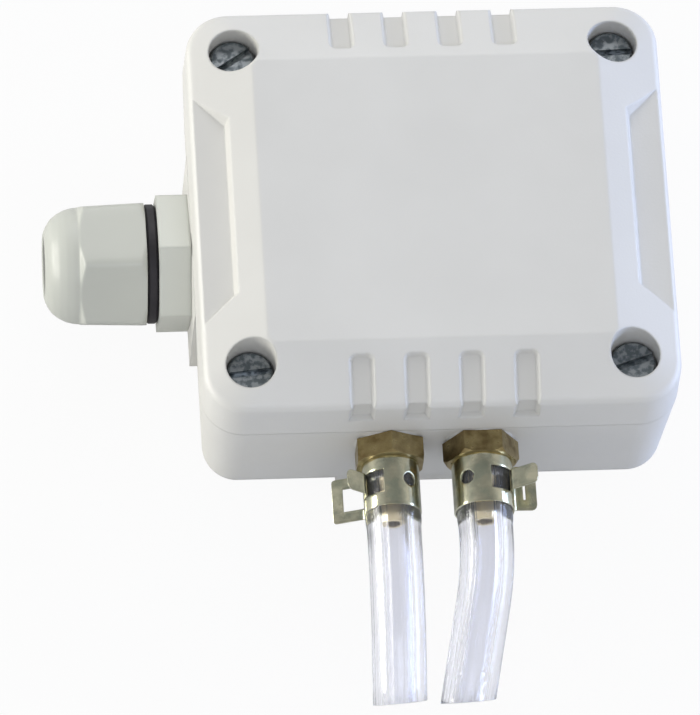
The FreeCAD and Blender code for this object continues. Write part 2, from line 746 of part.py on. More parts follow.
def make_nipple(side, turn):
    body = new_body(NIPPLE_X[side], f"-{SEAT}", "nipple_up", ALONG["-y"])
    hexed = "nipple_hex_long"
    tip = "(nipple_hex_long+nipple_reach)"
    inner = "(nipple_proud+nipple_wall+nipple_nut_thick+0.7)"
    root, barb, bore = "nipple_root/2", "nipple_barb/2", "nipple_bore/2"
    turned(body, "Revolution", [
        (bore, f"-{inner}-6.3"), ("nipple_tip/2", f"-{inner}-6.3"), (barb, f"-{inner}-4.6"),
        (root, f"-{inner}-4.5"), (root, f"-{inner}-0.2"), ("nipple_thread/2-0.5", f"-{inner}"),
        ("nipple_thread/2", f"0.5-{inner}"), ("nipple_thread/2", hexed), (root, hexed),
        (root, f"{hexed}+2.9"), (barb, f"{hexed}+3.0"), (root, f"{hexed}+5.0"),
        (barb, f"{hexed}+5.1"), ("nipple_tip/2", f"{hexed}+7.4"), ("nipple_tip/2", tip),
        (bore, tip),
    ])
    sketch = polygon(new_sketch(body, "XY_Plane"), hexagon("nipple_flats", turn))
    grow(body, "Pad", sketch, hexed)
    turned(body, "Groove", [
        ("nipple_flats/2+0.05", f"{hexed}+0.2"), ("nipple_flats", f"{hexed}+0.2"),
        ("nipple_flats", f"{hexed}-0.5"), ("nipple_flats/2+0.75", f"{hexed}-0.5"),
    ])
    hole = circle(new_sketch(body, "XY_Plane", hexed), 0, 0, bore)
    grow(body, "Pocket", hole, f"{hexed}+1")
    node(body, f"nipple_{side}")

    nut = new_body(NIPPLE_X[side], f"-{INNER_FACE}", "nipple_up", ALONG["-y"])
    sketch = polygon(new_sketch(nut, "XY_Plane"), hexagon("nipple_nut_flats", 0))
    grow(nut, "Pad", sketch, "nipple_nut_thick", reverse=True)
    hole = circle(new_sketch(nut, "XY_Plane"), 0, 0, "nipple_thread/2+thread_gap")
    grow(nut, "Pocket", hole, "nipple_nut_thick")
    node(nut, f"nipple_nut_{side}")


def make_hose(side):
    """A short stub of clear hose: straight over the nipple, then drooping on one bend."""
    roll = math.radians(number(f"hose_{side}_roll"))
    across = V(-math.sin(roll), 0, -math.cos(roll))
    out = V(0, -1, 0)
    turn = FreeCAD.Rotation(across, out.cross(across), out, "ZXY")
    body = new_body(NIPPLE_X[side], f"-{SEAT}-nipple_hex_long", "nipple_up", turn)
    angle = f"hose_{side}_turn"
    a, r = math.radians(number(angle)), number(f"hose_{side}_bend")
    straight, last = number("hose_straight"), number(f"hose_{side}_end")
    path = new_sketch(body, "XZ_Plane")
    bend = Part.ArcOfCircle(Part.Circle(V(r, straight, 0), V(0, 0, 1), r), math.pi - a, math.pi)
    bend_end = V(r - r * math.cos(a), straight + r * math.sin(a), 0)
    far_end = bend_end + V(last * math.sin(a), last * math.cos(a), 0)
    path.addGeometry([Part.LineSegment(V(0, 0, 0), V(0, straight, 0)), bend,
                      Part.LineSegment(bend_end, far_end)], False)
    path.addConstraint(Sketcher.Constraint("Coincident", 0, 1, -1, 1))
    path.addConstraint(Sketcher.Constraint("Vertical", 0))
    path.addConstraint(Sketcher.Constraint("Tangent", 0, 2, 1, 2))
    path.addConstraint(Sketcher.Constraint("Tangent", 1, 1, 2, 1))
    tie(path, "Distance", 0, size="hose_straight")
    tie(path, "Radius", 1, size=f"hose_{side}_bend")
    tie(path, "Distance", 2, size=f"hose_{side}_end")
    tie(path, "DistanceX", -1, 1, 1, 1, size=f"hose_{side}_bend*(1-cos({angle}))")
    ring = new_sketch(body, "XY_Plane")
    circle(ring, 0, 0, "hose_wide/2")
    circle(ring, 0, 0, "hose_bore/2")
    pipe = feature(body, "AdditivePipe", ring)
    pipe.Spine = (path, ["Edge1", "Edge2", "Edge3"])
    # the stretch over the nipple is swollen
    swollen, free = "hose_wide/2+hose_swell", "hose_wide/2"
    turned(body, "Revolution", [
        (f"{free}-0.5", "0"), (swollen, "0"), (swollen, "nipple_reach"),
        (free, "nipple_reach+1.5"), (f"{free}-0.5", "nipple_reach+1.5"),
    ])
    wide_bore = "nipple_barb/2+thread_gap"
    turned(body, "Groove", [
        ("0", "-0.5"), (wide_bore, "-0.5"), (wide_bore, "nipple_reach+0.2"),
        ("hose_bore/2", "nipple_reach+1.2"), ("0", "nipple_reach+1.2"),
    ])
    return node(body, f"hose_{side}")


def make_clamp(side):
    """A spring band clamp: a strip bent to a ring with a tongue lug and a frame lug."""
    hand = -1 if side == "left" else 1
    inner = "clamp_bore/2"
    outer = "(clamp_bore/2+clamp_strip)"
    ring = cut(cylinder(outer, "clamp_long", 0, 0, 0), [cylinder(inner, "clamp_long", 0, 0, 0)])
    centre = "clamp_long/2"

    def spoke(thing, angle, side_way, start, low, tilt=None):
        """Put a thing on a radius of the ring, at an angle from the front towards +X."""
        angle = number(angle)
        x = f"{start}*sin({angle})-({side_way})*cos({angle})"
        y = f"{start}*cos({angle})+({side_way})*sin({angle})"
        turn = FreeCAD.Rotation(V(0, 0, 1), -angle)
        return place(thing, x, y, low, turn * (tilt or FreeCAD.Rotation()))

    def radial_box(angle, start, long, high, thick, low):
        """A bar that sticks out of the ring."""
        return spoke(box(thick, long, high, 0, 0, 0), angle, f"({thick})/2", start, low)

    start = "(clamp_bore/2+clamp_strip*0.4)"
    tongue_low = f"{centre}-tongue_wide/2-0.2"
    reach = f"tongue_{side}_long+clamp_strip*0.6"
    tongue = radial_box(f"{hand}*tongue_{side}_at", start, reach, "tongue_wide", "lug_thick", tongue_low)
    frame_at, frame_long = f"{hand}*frame_{side}_at", f"frame_{side}_long"
    frame_low = f"{centre}-frame_lug_wide/2"
    frame_reach = f"{frame_long}+clamp_strip*0.6"
    frame = radial_box(frame_at, start, frame_reach, "frame_lug_wide", "lug_thick", frame_low)
    gap_low = f"{centre}-frame_lug_hole/2"
    open_long = f"lug_window_{side}"
    gap_start = f"({outer}+{frame_long}-frame_lug_edge-{open_long})"
    gap = radial_box(frame_at, gap_start, open_long, "frame_lug_hole", "3", gap_low)
    near = "(clamp_bore/2-1)"
    window_low = f"{centre}-clamp_window/2"
    window = radial_box(f"clamp_window_{side}_at", near, "3", "clamp_window", "clamp_window+0.3", window_low)
    drill = cylinder("clamp_hole/2", "3", 0, 0, 0)
    spoke(drill, f"clamp_hole_{side}_at", "0", near, f"{centre}-0.3", FreeCAD.Rotation(V(1, 0, 0), -90))
    clamp = cut(joined([ring, tongue, frame]), [gap, window, drill])
    place(clamp, NIPPLE_X[side], f"-{SEAT}-nipple_hex_long", "nipple_up", ALONG["-y"])
    return node(clamp, f"clamp_{side}")


# Circuit board and what is on it


def make_board():
    body = new_body()
    sketch = new_sketch(body, "XY_Plane", "board_up")
    rectangle(sketch, "-board_wide/2", "board_wide/2", "-board_deep/2", "board_deep/2")
    for sx, sy in CORNERS:
        circle(sketch, f"{sx}*{BOARD_X}", f"{sy}*{BOARD_Y}", "board_shank/2+0.2")
    grow(body, "Pad", sketch, "board_thick")
    node(body, "circuit_board")
    for index, (sx, sy) in enumerate(CORNERS, 1):
        slotted_screw(f"board_screw_{index}", f"{sx}*{BOARD_X}", f"{sy}*{BOARD_Y}",
                      "board_up+board_thick+board_head_high", "board_head", "board_head_high",
                      "board_shank", "board_thick+3.3", "0.7", "0.8", 20 * index)


def make_sensor():
    front = "-sensor_front"
    solid = [box("sensor_wide", "sensor_deep", "sensor_high", "-nipple_shift-sensor_wide/2", front, BOARD_TOP),
             box("sensor_wide-8", "sensor_deep-6", "sensor_high+1.2", "-nipple_shift-sensor_wide/2+4",
                 "-sensor_front+3", BOARD_TOP)]
    holes = []
    for x in NIPPLE_X.values():
        solid.append(cylinder("port_wide/2", "port_long+1", x, "1-sensor_front", "nipple_up", "-y"))
        holes.append(cylinder("port_bore/2", "port_long+6", x, "5-sensor_front", "nipple_up", "-y"))
    node(cut(joined(solid), holes), "flow_sensor")
    for side, x in NIPPLE_X.items():
        start = "-sensor_front-0.2"
        tube = cylinder("inner_tube_wide/2", "inner_tube_long", x, start, "nipple_up", "-y")
        hole = cylinder("inner_tube_bore/2", "inner_tube_long", x, start, "nipple_up", "-y")
        node(cut(tube, [hole]), f"inner_tube_{side}")


def make_terminals():
    long = "4*terminal_pitch+1"
    start = "(terminal_edge-board_wide/2)"
    block = box("terminal_wide", long, "terminal_high", start, f"-({long})/2", BOARD_TOP)
    holes, cages = [], []
    well_x = f"{start}+terminal_wide/2-0.3"
    low = f"{BOARD_TOP}+1.2"
    roof = f"{BOARD_TOP}+terminal_high"
    for index, step in enumerate((-1.5, -0.5, 0.5, 1.5), 1):
        y = f"{step}*terminal_pitch"
        holes.append(cylinder("terminal_head/2+0.1", "terminal_high/2+1", well_x, y, roof, "-z"))
        side = "terminal_cage"
        holes.append(box("terminal_wide-1.5", side, side, start, f"{y}-{side}/2", low))
        shell = box("terminal_wide-2.5", f"{side}-0.1", f"{side}-0.1", f"{start}+0.5",
                    f"{y}-{side}/2+0.05", f"{low}+0.05")
        way = box("terminal_wide", f"{side}-0.9", f"{side}-0.9", start, f"{y}-{side}/2+0.45",
                  f"{low}+0.45")
        cages.append(cut(shell, [way]))
        slotted_screw(f"terminal_screw_{index}", well_x, y, f"{roof}-0.6", "terminal_head", "1.4",
                      "1.8", "terminal_screw_long-1.4", "0.5", "0.6", 35 * index)
    node(cut(block, holes), "terminal_block")
    node(together(cages), "terminal_cages")


def chip(x, y, wide, deep, high):
    """A block that stands on the board, centred on a point."""
    return box(wide, deep, high, f"{x}-({wide})/2", f"{y}-({deep})/2", BOARD_TOP)


def make_small_parts():
    x, y = "trimmer_x", "trimmer_y"
    roof = f"{BOARD_TOP}+trimmer_high"
    well = cylinder("rotor_wide/2+thread_gap", "rotor_high+0.1", x, y, roof, "-z")
    body = chip(x, y, "trimmer_side", "trimmer_side", "trimmer_high")
    node(cut(body, [well]), "trimmer_body")
    rotor = cylinder("rotor_wide/2", "rotor_high", x, y, f"{roof}-rotor_high-0.1")
    slot = box("rotor_wide+1", "rotor_slot", "rotor_high", f"{x}-rotor_wide/2-0.5",
               f"{y}-rotor_slot/2", f"{roof}-rotor_high+0.4")
    node(cut(rotor, [slot]), "trimmer_rotor")
    node(chip("chip_x", "chip_y", "chip_side", "chip_side", "chip_high"), "controller_chip")
    start = "regulator_x-regulator_wide/2"
    tab = box("regulator_wide", "regulator_long", "regulator_high/2", start, "regulator_y", BOARD_TOP)
    lump = box("regulator_wide", "regulator_lump", "regulator_high", start, "regulator_y", BOARD_TOP)
    node(joined([tab, lump]), "voltage_regulator")
    cans = [cylinder("can_wide/2", "can_high", "can_x", f"{s}*can_y", BOARD_TOP) for s in (-1, 1)]
    node(together(cans), "capacitors")
    node(chip("led_x", "led_y", "led_long", "led_wide", "led_high"), "status_led")
    rows = [
        chip(f"resistor_x+{i}*resistor_pitch", "resistor_y", "resistor_wide", "resistor_long",
             "resistor_high")
        for i in range(4)
    ]
    node(together(rows), "resistors")
    pins = [
        chip(f"pin_x+{i}*pin_pitch", "pin_y", "pin_side", "pin_side", "pin_high") for i in (-1, 0, 1)
    ]
    shoe = chip("pin_x", "pin_y", "3*pin_pitch", "2.5", "2.5")
    node(joined([shoe] + pins), "test_header")


make_base()
make_cover()
make_seal()
for index, ((sx, sy), turn) in enumerate(zip(CORNERS, (33, 2, 6, 18)), 1):
    slotted_screw(f"cover_screw_{index}", f"{sx}*{SCREW_X}", f"{sy}*{SCREW_Y}", HEAD_TOP,
                  "screw_head", "screw_head_high", "screw_shank", "screw_long", "slot_wide",
                  "slot_deep", turn)
make_gland()
for side, turn in (("left", 30), ("right", 0)):
    make_nipple(side, turn)
    make_hose(side)
    make_clamp(side)
make_board()
make_sensor()
make_terminals()
make_small_parts()
doc.recompute()

faults = [
    f"{thing.Label}: {thing.State}"
    for thing in doc.Objects
    if "Invalid" in thing.State or "Error" in thing.State
]
for thing in nodes:
    shape = thing.Shape
    if shape.isNull() or not shape.isValid() or not shape.Solids:
        faults.append(f"{thing.Label}: no valid solid")
if faults:
    raise SystemExit("\n".join(faults))
for thing in nodes:
    shape = thing.Shape
    shape.exportStep(f"parts/{thing.Label}.step")
    low, high = shape.BoundBox, shape.BoundBox
    print(f"{thing.Label:18} {len(shape.Solids)} solid(s) {shape.Volume:10.1f} mm3  "
          f"x {low.XMin:.2f} {high.XMax:.2f}  y {low.YMin:.2f} {high.YMax:.2f}  "
          f"z {low.ZMin:.2f} {high.ZMax:.2f}")
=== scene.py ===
# %% [markdown]
# # Air flow sensor
# This lesson dresses a measured model of a small wall-mounted air flow sensor: a light grey
# moulded housing with a bevelled cover, a nylon cable gland, and two brass hose nipples with
# stubs of clear hose in spring clamps. The measured model gives every place and size, in
# metres. Here each surface gets the finish of the real thing, and the soft or bent pieces
# (hoses, clamps) are modelled again with more detail.

# %% Start: load the measured model
import math

import bmesh
import bpy
from mathutils import Matrix, Vector


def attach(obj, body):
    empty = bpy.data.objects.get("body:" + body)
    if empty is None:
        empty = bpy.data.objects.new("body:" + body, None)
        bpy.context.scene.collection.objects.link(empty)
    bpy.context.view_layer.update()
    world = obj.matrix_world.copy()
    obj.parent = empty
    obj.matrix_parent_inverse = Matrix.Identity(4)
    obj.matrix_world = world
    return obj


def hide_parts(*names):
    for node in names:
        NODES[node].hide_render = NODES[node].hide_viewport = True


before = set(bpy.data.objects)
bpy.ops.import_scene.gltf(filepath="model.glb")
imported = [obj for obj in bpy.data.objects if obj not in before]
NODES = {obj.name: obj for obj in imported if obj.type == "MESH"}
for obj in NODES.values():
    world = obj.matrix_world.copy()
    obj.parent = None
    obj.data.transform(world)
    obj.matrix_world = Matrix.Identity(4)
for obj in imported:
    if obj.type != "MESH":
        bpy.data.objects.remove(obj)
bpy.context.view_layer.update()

MM = 0.001

# %% [markdown]
# ## Colours and node trees
# Colours are picked as sRGB hex values, which are what an eye or a colour picker reads. A
# renderer adds light up, so it needs linear values, and one function turns hex to linear.
# A second small function adds a node to a material with its settings and its links in one
# line, so that each finish below reads from top to bottom.


# %% Helpers for materials
def linear(hex_code):
    """An sRGB hex colour as linear RGBA."""
    shares = [int(hex_code[i : i + 2], 16) / 255 for i in (1, 3, 5)]
    return [s / 12.92 if s <= 0.04045 else ((s + 0.055) / 1.055) ** 2.4 for s in shares] + [1.0]


def add(tree, kind, feeds=(), **settings):
    """Add a node. feeds are (input, source socket or value); settings are its properties."""
    made = tree.nodes.new("ShaderNode" + kind)
    for name, value in settings.items():
        setattr(made, name, value)
    for name, source in dict(feeds).items():
        if isinstance(source, bpy.types.NodeSocket):
            tree.links.new(source, made.inputs[name])
        else:
            made.inputs[name].default_value = source
    return made


def new_finish(name):
    """An empty material with its shader; gives the material, its tree and its shader."""
    finish = bpy.data.materials.new(name)
    finish.use_nodes = True
    return finish, finish.node_tree, finish.node_tree.nodes["Principled BSDF"]


def grain(tree, size_mm, detail=2.0, seed=0.0):
    """A noise value whose grain is about this many millimetres wide, in object space."""
    where = add(tree, "TexCoord").outputs["Object"]
    shift = add(tree, "Mapping", {"Vector": where, "Location": (seed, seed * 0.7, -seed)})
    scale = 1 / (size_mm * MM)
    feeds = {"Vector": shift.outputs["Vector"], "Scale": scale, "Detail": detail}
    return add(tree, "TexNoise", feeds).outputs["Fac"]


print("helpers ready, mid grey #808080 is linear", round(linear("#808080")[0], 3))

# %% [markdown]
# ## Camera
# The photograph looks down on the sensor, which lies on its back: the view is tilted about 24
# degrees from straight above and comes from the hose side. The three rows below are the
# picture's right, up and toward-the-viewer directions. A long lens far away keeps the small
# amount of perspective that the photograph has.

# %% Camera at the photograph's viewing angle
PICTURE = (700, 715)
PX_PER_MM = 6.604
DISTANCE = 1428.0
AIM = Vector((0.0, 0.0, 34.5))
AIM_PIXEL = (433.76, 198.38)
RIGHT = Vector((0.99652108, -0.05681033, 0.06097807))
UP = Vector((0.02662892, 0.9103595, 0.41296063))
BACK = Vector((-0.0789724, -0.40990019, 0.90870523))
shift_right = (AIM_PIXEL[0] - PICTURE[0] / 2) / PX_PER_MM
shift_up = (PICTURE[1] / 2 - AIM_PIXEL[1]) / PX_PER_MM
eye = (AIM + BACK * DISTANCE - RIGHT * shift_right - UP * shift_up) * MM
lens = bpy.data.cameras.new("photo_camera")
lens.sensor_fit = "HORIZONTAL"
lens.sensor_width = 36.0
lens.lens = PX_PER_MM * DISTANCE * lens.sensor_width / PICTURE[0]
camera = bpy.data.objects.new("photo_camera", lens)
bpy.context.scene.collection.objects.link(camera)
turn = Matrix((RIGHT, UP, BACK)).transposed().to_4x4()
camera.matrix_world = Matrix.Translation(eye) @ turn
bpy.context.scene.camera = camera
bpy.context.scene.view_settings.view_transform = "Standard"
print(f"lens {lens.lens:.0f} mm, camera {eye.length:.2f} m away")

# %% [markdown]
# ## Light, floor and background
# The photograph was taken in a bright white tent: soft light from both sides, slightly warm
# from the left and slightly blue from the right, and a white ground. The world gives the
# even part and four large lamps give the sides their different tones. Mirrors see a tent
# with a bright foot and a dim roof, which gives metal its light and dark bands. The ground
# looks white to the camera and through glass, and keeps a soft trace of the shadow. Lamps are
# placed and sized in millimetres from the middle of the housing's back, and the ground is a
# square of six metres.


# %% World, lamps and floor
def tent_white(tree, own_shader, share):
    """Mix a plain white glow into a shader for rays from the camera and through glass."""
    kind = add(tree, "LightPath")
    rays = {0: kind.outputs["Is Camera Ray"], 1: kind.outputs["Is Transmission Ray"]}
    seen = add(tree, "Math", rays, operation="MAXIMUM").outputs[0]
    part = add(tree, "Math", {0: seen, 1: share}, operation="MULTIPLY").outputs[0]
    glow = add(tree, "Emission", {"Strength": 1.0}).outputs[0]
    return add(tree, "MixShader", {0: part, 1: own_shader, 2: glow}).outputs[0]


def lamp(name, spot, aim, wide, high, watts, hex_code):
    """A large oblong lamp at a spot in millimetres that faces another spot."""
    light = bpy.data.lights.new(name, "AREA")
    light.shape = "RECTANGLE"
    light.size, light.size_y = wide * MM, high * MM
    light.energy = watts
    light.color = linear(hex_code)[:3]
    thing = bpy.data.objects.new(name, light)
    bpy.context.scene.collection.objects.link(thing)
    way = (Vector(aim) - Vector(spot)).normalized()
    facing = way.to_track_quat("-Z", "Y").to_matrix().to_4x4()
    thing.matrix_world = Matrix.Translation(Vector(spot) * MM) @ facing


SOFT_SKY = {"From Min": 0.1, "To Min": 0.74, "To Max": 0.57}
MIRRORED_SKY = {"From Max": 0.9, "To Min": 1.0, "To Max": 0.3}
GROUND_HALF = 3.0
GROUND_WHITE = 0.93
world = bpy.data.worlds.new("white_tent")
world.use_nodes = True
tree = world.node_tree
tree.nodes.clear()
way = add(tree, "TexCoord").outputs["Generated"]
height = add(tree, "SeparateXYZ", {"Vector": way}).outputs["Z"]
soft = add(tree, "MapRange", {"Value": height, **SOFT_SKY}).outputs["Result"]
stark = add(tree, "MapRange", {"Value": height, **MIRRORED_SKY}).outputs["Result"]
mirror = add(tree, "LightPath").outputs["Is Glossy Ray"]
dim = add(tree, "Mix", {0: mirror, 2: soft, 3: stark}, data_type="FLOAT").outputs[0]
sky = add(tree, "Background", {"Color": linear("#F6F7F8"), "Strength": dim}).outputs[0]
output = add(tree, "OutputWorld")
tree.links.new(tent_white(tree, sky, 1.0), output.inputs["Surface"])
bpy.context.scene.world = world

lamp("left_softbox", (-600, 40, 110), (0, 0, 25), 500, 200, 2.8, "#FFFDF4")
lamp("right_softbox", (600, 40, 110), (0, 0, 25), 500, 200, 3.4, "#BED1FF")
lamp("front_softbox", (0, -360, 510), (0, 0, 15), 420, 200, 0.65, "#EDF2FF")
lamp("top_softbox", (-40, 480, 420), (0, 0, 20), 420, 420, 1.2, "#FFFFFF")

paper, tree, shader = new_finish("white_paper_ground")
shader.inputs["Base Color"].default_value = linear("#D0D0D0")
shader.inputs["Roughness"].default_value = 0.9
matt = shader.outputs["BSDF"]
ending = tree.nodes["Material Output"]
tree.links.new(tent_white(tree, matt, GROUND_WHITE), ending.inputs["Surface"])
bm = bmesh.new()
bmesh.ops.create_grid(bm, x_segments=1, y_segments=1, size=GROUND_HALF)
mesh = bpy.data.meshes.new("ground")
bm.to_mesh(mesh)
bm.free()
ground = bpy.data.objects.new("ground", mesh)
ground.data.materials.append(paper)
bpy.context.scene.collection.objects.link(ground)
print("white tent set up")

# %% [markdown]
# ## Moulded ABS for the housing
# The housing is injection moulded ABS from an eroded mould: light grey, satin, with a skin of
# very fine pits that only shows as a soft spread of the highlights. Fine noise drives a faint
# bump and a faint change of roughness; a broad, weak one keeps the large faces from looking
# flat. The pits are drawn about 0.4 mm wide, coarser than the real ones, so that they show.


# %% Housing plastic
CLOUD_MM = 18.0
PLASTIC_INDEX = 1.54
EDGE_SAMPLES = 6


def satin_plastic(name, hex_code, dark_hex, roughness, pit_mm, pit_height, gloss=0.5, edge_mm=0.0):
    """Moulded plastic with faint clouding, fine pits and edges rounded by the mould."""
    finish, tree, shader = new_finish(name)
    clouds = grain(tree, CLOUD_MM, detail=3.0)
    tint = add(tree, "MapRange", {"Value": clouds, "From Min": 0.35, "From Max": 0.7}).outputs["Result"]
    ends = {"Color1": linear(dark_hex), "Color2": linear(hex_code)}
    colour = add(tree, "MixRGB", {"Fac": tint, **ends})
    tree.links.new(colour.outputs["Color"], shader.inputs["Base Color"])
    pits = grain(tree, pit_mm, detail=1.0, seed=0.3)
    around = {"To Min": roughness - 0.05, "To Max": roughness + 0.07}
    spread = add(tree, "MapRange", {"Value": pits, **around})
    tree.links.new(spread.outputs["Result"], shader.inputs["Roughness"])
    feeds = {"Height": pits, "Strength": 0.25, "Distance": pit_height * MM}
    if edge_mm:
        rounding = add(tree, "Bevel", {"Radius": edge_mm * MM}, samples=EDGE_SAMPLES)
        feeds["Normal"] = rounding.outputs["Normal"]
    bump = add(tree, "Bump", feeds)
    tree.links.new(bump.outputs["Normal"], shader.inputs["Normal"])
    shader.inputs["IOR"].default_value = PLASTIC_INDEX
    shader.inputs["Specular IOR Level"].default_value = gloss
    return finish


def paint(finish, *names):
    """Give nodes of the measured model a finish."""
    for name in names:
        slots = NODES[name].data.materials
        slots.clear()
        slots.append(finish)


abs_grey = satin_plastic("moulded_abs_light_grey", "#D2D1CD", "#CECDC9", 0.42, 0.4, 0.05, edge_mm=0.5)
paint(abs_grey, "base", "cover")
print("housing finished in", abs_grey.name)

# %% [markdown]
# ## Nylon for the cable gland
# Glands are moulded in light grey nylon 6, a little darker than the housing and with a soft
# sheen. The body is a touch lighter than the nut, as from another batch. The rubber ring and
# the insert are black elastomer with a dull, slightly dusty skin.

# %% Gland nylon and rubber
nylon = satin_plastic("moulded_nylon_grey", "#BABCB5", "#B7B9B2", 0.36, 0.7, 0.01, edge_mm=0.3)
light_nylon = satin_plastic("moulded_nylon_light_grey", "#C8CAC3", "#C5C7C0", 0.36, 0.7, 0.01,
                            edge_mm=0.8)
rubber = satin_plastic("black_elastomer", "#2A272C", "#222024", 0.55, 0.5, 0.06, gloss=0.35)
paint(light_nylon, "gland_body")
paint(rubber, "gland_ring", "gland_seal", "cover_gasket")
print("gland and seals finished")

# %% [markdown]
# ## Metals
# Three metals show: blue-grey zinc on the steel screws, aged brass on the turned nipples and
# yellow passivated zinc on the spring clamps. A metal has no colour of its own apart from its
# mirror tint, so the tint is the base colour. Age and handling change tint and roughness
# together, in patches of a millimetre or two, and turned brass has fine pits. Where a hose
# covers a nipple, at more than 37 mm from the middle, the brass gets painted light: a pale tint
# that stands in for the light which scarcely reaches it inside the clear hose.


# %% Metal finishes
def aged_metal(name, bright_hex, dull_hex, patch_mm, roughness, pit_mm, pit_height, bands=0.35):
    """A metal whose tint and roughness change together in patches, with fine pits."""
    finish, tree, shader = new_finish(name)
    shader.inputs["Metallic"].default_value = 1.0
    patches = grain(tree, patch_mm, detail=4.0)
    edge = {"Value": patches, "From Min": 0.5 - bands / 2, "From Max": 0.5 + bands / 2}
    share = add(tree, "MapRange", edge).outputs["Result"]
    ends = {"Color1": linear(bright_hex), "Color2": linear(dull_hex)}
    colour = add(tree, "MixRGB", {"Fac": share, **ends})
    tree.links.new(colour.outputs["Color"], shader.inputs["Base Color"])
    low, high = roughness
    spread = add(tree, "MapRange", {"Value": share, "To Min": low, "To Max": high})
    tree.links.new(spread.outputs["Result"], shader.inputs["Roughness"])
    pits = grain(tree, pit_mm, detail=3.0, seed=0.6)
    bump = add(tree, "Bump", {"Height": pits, "Strength": 0.5, "Distance": pit_height * MM})
    tree.links.new(bump.outputs["Normal"], shader.inputs["Normal"])
    return finish


zinc = aged_metal("blue_zinc_plated_steel", "#A3A9AD", "#70787D", 0.9, (0.3, 0.5), 0.3, 0.03, 0.16)
yellow_zinc = aged_metal("yellow_passivated_spring_steel", "#E4DFC3", "#AAAE9A", 2.2, (0.12, 0.26),
                         0.8, 0.03)
tin = aged_metal("tin_plated_brass", "#D8D6CE", "#B4B2AA", 0.8, (0.28, 0.42), 0.3, 0.02)
brass = aged_metal("turned_aged_brass", "#A39369", "#776644", 1.8, (0.26, 0.46), 0.4, 0.08)

# Painted light: past 37 mm from the middle, under the hose, a pale brass tint is mixed in for the light
# that scarcely reaches the tip.
PAINTED_LIGHT_UNDER_HOSE = {"From Min": -37.6 * MM, "From Max": -36.8 * MM, "To Min": 1.0, "To Max": 0.0}
tree = brass.node_tree
shader = tree.nodes["Principled BSDF"]
where = add(tree, "TexCoord").outputs["Object"]
depth = add(tree, "SeparateXYZ", {"Vector": where}).outputs["Y"]
bright = add(tree, "MapRange", {"Value": depth, **PAINTED_LIGHT_UNDER_HOSE}).outputs["Result"]
aged = shader.inputs["Base Color"].links[0].from_socket
colour = add(tree, "MixRGB", {"Fac": bright, "Color1": aged, "Color2": linear("#F2E2B4")})
tree.links.new(colour.outputs["Color"], shader.inputs["Base Color"])
four = range(1, 5)
paint(zinc, *[f"cover_screw_{i}" for i in four], *[f"board_screw_{i}" for i in four])
paint(brass, "nipple_left", "nipple_right", "nipple_nut_left", "nipple_nut_right")
paint(yellow_zinc, "clamp_left", "clamp_right")
paint(tin, "terminal_cages", *[f"terminal_screw_{i}" for i in four])
print("metals finished")

# %% [markdown]
# ## Clear PVC
# The hoses are extruded soft PVC: clear, with a faint blue-violet cast and faint streaks along
# their length from the die. A glass-like shader with the refractive index of PVC bends the
# light, so the bore shows as a bright band, and long thin noise gives the streaks. The cut
# ends are rougher and whiter, because a knife leaves fine ridges there. The streak pattern
# runs on the pieces' own attribute, in millimetres round the hose. Inside the housing, the
# inner tubes are milky silicone, which lets a little light in.

# %% Hose plastic and silicone
PVC_INDEX = 1.53
STREAK_SCALE = 1.6
STREAK_ROUGHNESS = {"From Min": 0.3, "From Max": 0.7, "To Min": 0.03, "To Max": 0.26}
STREAK_DEEP = 0.12


def soft_pvc(name, hex_code, clearness):
    """Soft PVC of some clearness; gives the material, its tree and its shader."""
    finish, tree, shader = new_finish(name)
    shader.inputs["Base Color"].default_value = linear(hex_code)
    shader.inputs["Transmission Weight"].default_value = clearness
    shader.inputs["IOR"].default_value = PVC_INDEX
    return finish, tree, shader


pvc, tree, shader = soft_pvc("extruded_clear_pvc", "#EDEEF4", 0.96)
where = add(tree, "Attribute", attribute_name="around").outputs["Vector"]
streaks = add(tree, "TexNoise", {"Vector": where, "Scale": STREAK_SCALE, "Detail": 2.0}).outputs["Fac"]
spread = add(tree, "MapRange", {"Value": streaks, **STREAK_ROUGHNESS})
tree.links.new(spread.outputs["Result"], shader.inputs["Roughness"])
bump = add(tree, "Bump", {"Height": streaks, "Strength": 1.0, "Distance": STREAK_DEEP * MM})
tree.links.new(bump.outputs["Normal"], shader.inputs["Normal"])

cut_pvc, tree, shader = soft_pvc("knife_cut_pvc", "#DDDFE6", 0.3)
shader.inputs["Roughness"].default_value = 0.4

silicone = satin_plastic("translucent_silicone", "#D9D8D2", "#CFCEC8", 0.38, 0.5, 0.03)
shader = silicone.node_tree.nodes["Principled BSDF"]
shader.inputs["Subsurface Weight"].default_value = 0.3
shader.inputs["Subsurface Scale"].default_value = 1.0 * MM
paint(silicone, "inner_tube_left", "inner_tube_right")
print("clear plastics finished")

# %% [markdown]
# ## The circuit board and its parts
# Under the cover, the board is green solder mask over copper, and its parts are black resin,
# blue and green nylon, bare aluminium and clear resin. The copper shows as slightly lighter
# tracks under the mask, drawn with square cells about 2.5 mm wide.

# %% Inner finishes
TRACK_MM = 2.5
TRACK_EDGE = {"From Min": 0.36, "From Max": 0.4}
COPPER_THICK = 0.035
mask, tree, shader = new_finish("solder_mask_green")
where = add(tree, "TexCoord").outputs["Object"]
feeds = {"Vector": where, "Scale": 1 / (TRACK_MM * MM), "Randomness": 0.75}
cells = add(tree, "TexVoronoi", feeds, feature="F1", distance="MANHATTAN").outputs["Distance"]
track = add(tree, "MapRange", {"Value": cells, **TRACK_EDGE}).outputs["Result"]
greens = {"Color1": linear("#1C5A34"), "Color2": linear("#143F26")}
colour = add(tree, "MixRGB", {"Fac": track, **greens})
tree.links.new(colour.outputs["Color"], shader.inputs["Base Color"])
feeds = {"Height": track, "Strength": 0.4, "Distance": COPPER_THICK * MM}
bump = add(tree, "Bump", feeds, invert=True)
tree.links.new(bump.outputs["Normal"], shader.inputs["Normal"])
shader.inputs["Roughness"].default_value = 0.32
